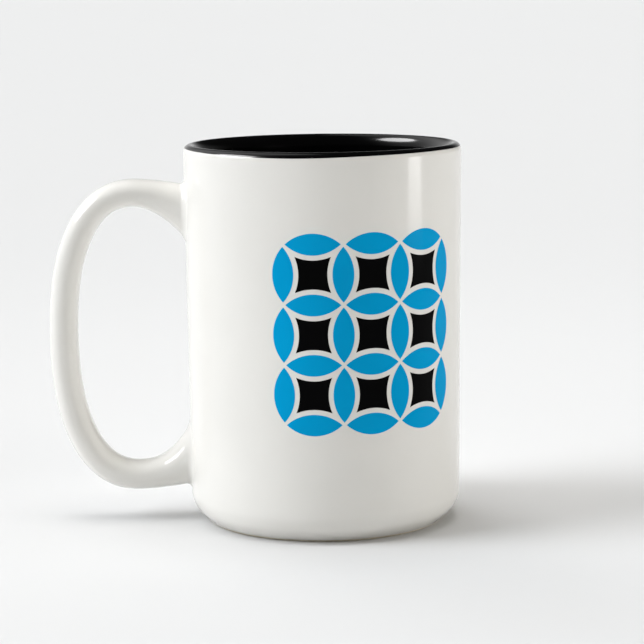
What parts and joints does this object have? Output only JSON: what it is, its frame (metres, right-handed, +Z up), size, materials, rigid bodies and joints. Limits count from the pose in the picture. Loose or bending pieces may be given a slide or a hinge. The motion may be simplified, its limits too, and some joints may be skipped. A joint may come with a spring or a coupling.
{
  "type": "two-tone coffee mug",
  "caption": "Tall straight stoneware mug with a flared strap handle, black glaze inside and over the lip, white glaze outside, and a blue and black petal lattice printed on its side.",
  "frame": {"origin": "middle of the foot ring, on the plane that the mug stands on", "axes": "+Z up along the axis of the cup, the handle along -X, the printed panel on the -Y side"},
  "size_m": [0.1287, 0.086, 0.1177],
  "materials": {
    "stoneware": "matte",
    "slip": "matte",
    "black_glaze": "polished",
    "white_glaze": "polished",
    "blue_ink": "gloss",
    "black_ink": "gloss"
  },
  "bodies": {
    "root": {"cup_body": "stoneware", "handle": "stoneware", "upper_slip_joint": "slip", "lower_slip_joint": "slip", "black_lining": "black_glaze", "outside_glaze": "white_glaze", "handle_glaze": "white_glaze", "base_glaze": "white_glaze", "print_blue": "blue_ink", "print_black": "black_ink"}
  },
  "joints": []
}
